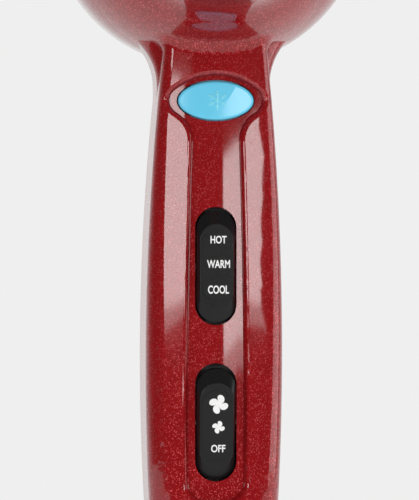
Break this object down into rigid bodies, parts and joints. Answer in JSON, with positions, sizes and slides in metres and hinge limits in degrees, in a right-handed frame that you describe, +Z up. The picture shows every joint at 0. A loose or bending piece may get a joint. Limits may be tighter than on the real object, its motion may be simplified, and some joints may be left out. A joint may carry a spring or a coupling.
{
  "type": "hair dryer",
  "caption": "Hand-held hair dryer with a bellied barrel, grip with speed and temperature rockers, cool-shot button, fan, heater and a hinged rear filter cover.",
  "frame": {"origin": "centre of the mouth of the cord gland, under the end cap of the grip", "axes": "+Z up the grip towards the barrel, the air leaves towards -Y, the rockers and the button face -Y"},
  "size_m": [0.092, 0.1902, 0.2552],
  "materials": {
    "red_lacquer": "deep red metallic flake lacquer under a clear gloss coat",
    "black_plastic": "fine satin black",
    "rocker_black": "smooth satin black with white prints",
    "blue_button": "pale blue, softly glossy, slightly translucent",
    "grey_plastic": "grey moulded",
    "duct_plastic": "dark heat-resistant moulding",
    "bell_plastic": "cream moulded",
    "steel": "bright steel",
    "steel_mesh": "fine perforated sheet",
    "plated_steel": "zinc plated",
    "brass": "bright brass",
    "bronze": "sintered bronze",
    "copper": "lacquered copper",
    "ferrite": "dark grey ferrite",
    "carbon": "black carbon",
    "circuit_board": "paper laminate board",
    "diode_black": "black epoxy",
    "mica": "pale brown mica sheet",
    "heater_wire": "resistance wire",
    "fuse_white": "white body",
    "rubber": "black rubber"
  },
  "bodies": {
    "housing": {"cool_button_spring": "steel", "cool_switch_body": "grey_plastic", "cord_clamp": "grey_plastic", "cord_clamp_screws": "steel", "cord_gland": "rubber", "fan_duct": "duct_plastic", "filter_hinge_pin": "steel", "front_bearing": "bronze", "handle_end_cap": "black_plastic", "handle_rear_cover": "red_lacquer", "handle_screws": "steel", "heater_board_flat": "mica", "heater_board_upright": "mica", "heater_liner": "mica", "heater_winding": "heater_wire", "main_housing": "red_lacquer", "motor_brushes": "carbon", "motor_can": "plated_steel", "motor_end_bell": "bell_plastic", "motor_magnets": "ferrite", "motor_screws": "steel", "nozzle_collar": "black_plastic", "outlet_grille": "black_plastic", "rear_bearing": "bronze", "rear_ring": "black_plastic", "rectifier_board": "circuit_board", "rectifier_diodes": "diode_black", "speed_rocker_pin": "steel", "speed_switch_body": "grey_plastic", "switch_screws": "steel", "switch_terminals": "brass", "temperature_rocker_pin": "steel", "temperature_switch_body": "grey_plastic", "thermal_fuse": "fuse_white", "thermostat": "plated_steel"},
    "rotor": {"impeller": "duct_plastic", "motor_shaft": "steel", "armature_core": "plated_steel", "armature_winding": "copper", "commutator": "copper"},
    "filter": {"filter_cover": "black_plastic", "filter_mesh": "steel_mesh"},
    "cool_button": {"cool_shot_button": "blue_button"},
    "temperature_rocker": {"temperature_rocker": "rocker_black"},
    "speed_rocker": {"speed_rocker": "rocker_black"}
  },
  "joints": [
    {"name": "cool_button_slide", "type": "slide", "parent": "housing", "child": "cool_button", "axis": [0, 1, 0], "range_m": [0, 0.002], "stiffness_N_per_m": 400, "springref_m": -0.003, "deforming": ["cool_button_spring"]},
    {"name": "temperature_rock", "type": "hinge", "parent": "housing", "child": "temperature_rocker", "pos_m": [0, -0.0142, 0.0987], "axis": [1, 0, 0], "range_deg": [-6, 6]},
    {"name": "speed_rock", "type": "hinge", "parent": "housing", "child": "speed_rocker", "pos_m": [0, -0.0142, 0.054], "axis": [-1, 0, 0], "range_deg": [0, 12]},
    {"name": "rotor_spin", "type": "hinge", "parent": "housing", "child": "rotor", "pos_m": [0, 0.02, 0.2028], "axis": [0, 1, 0], "continuous": true},
    {"name": "filter_hinge", "type": "hinge", "parent": "housing", "child": "filter", "pos_m": [0, 0.0676, 0.1617], "axis": [-1, 0, 0], "range_deg": [0, 100]}
  ]
}
